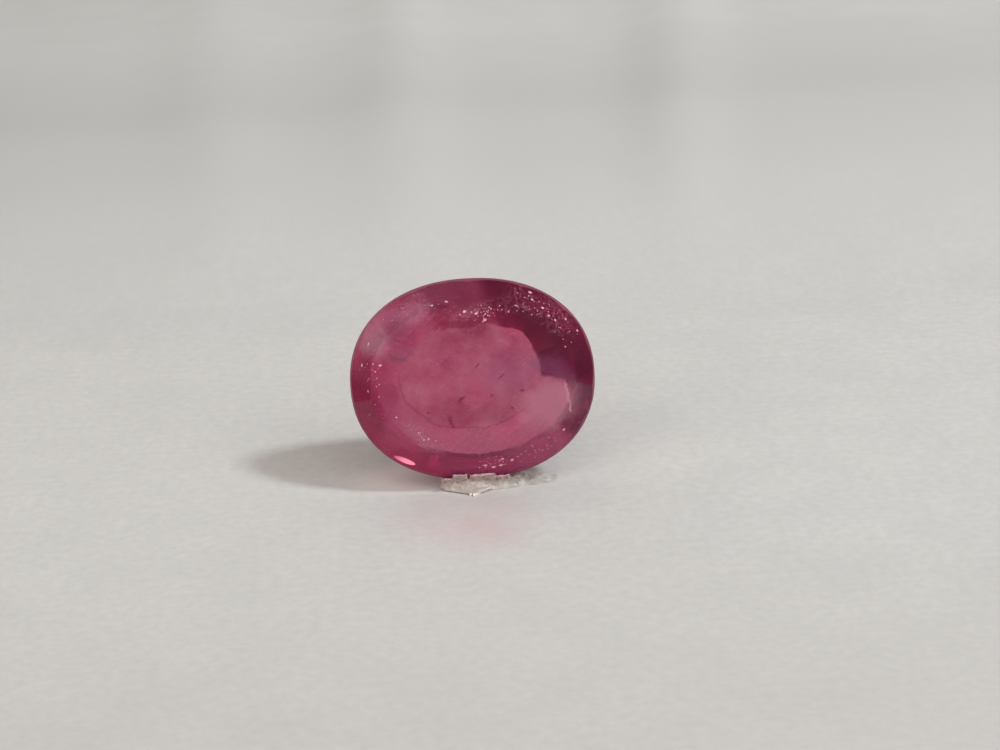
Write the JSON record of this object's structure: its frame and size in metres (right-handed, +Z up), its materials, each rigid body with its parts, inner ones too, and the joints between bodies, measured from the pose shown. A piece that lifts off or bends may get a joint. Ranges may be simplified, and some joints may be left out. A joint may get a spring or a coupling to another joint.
{
  "type": "faceted oval ruby gemstone on a dab of clear adhesive",
  "caption": "Cut and polished oval ruby, milky and included, that stands on its long edge in a low dab of clear adhesive with its table facing forward.",
  "frame": {"origin": "centre of the whole object's footprint box, on the floor that the adhesive lies on", "axes": "+Z up; X along the stone's long axis; the table faces -Y and leans back by 17 degrees"},
  "size_m": [0.01, 0.0058, 0.0083],
  "materials": {
    "ruby": "polished",
    "clear_adhesive": "gloss"
  },
  "bodies": {
    "root": {"ruby": "ruby", "glue_dab": "clear_adhesive"}
  },
  "joints": []
}
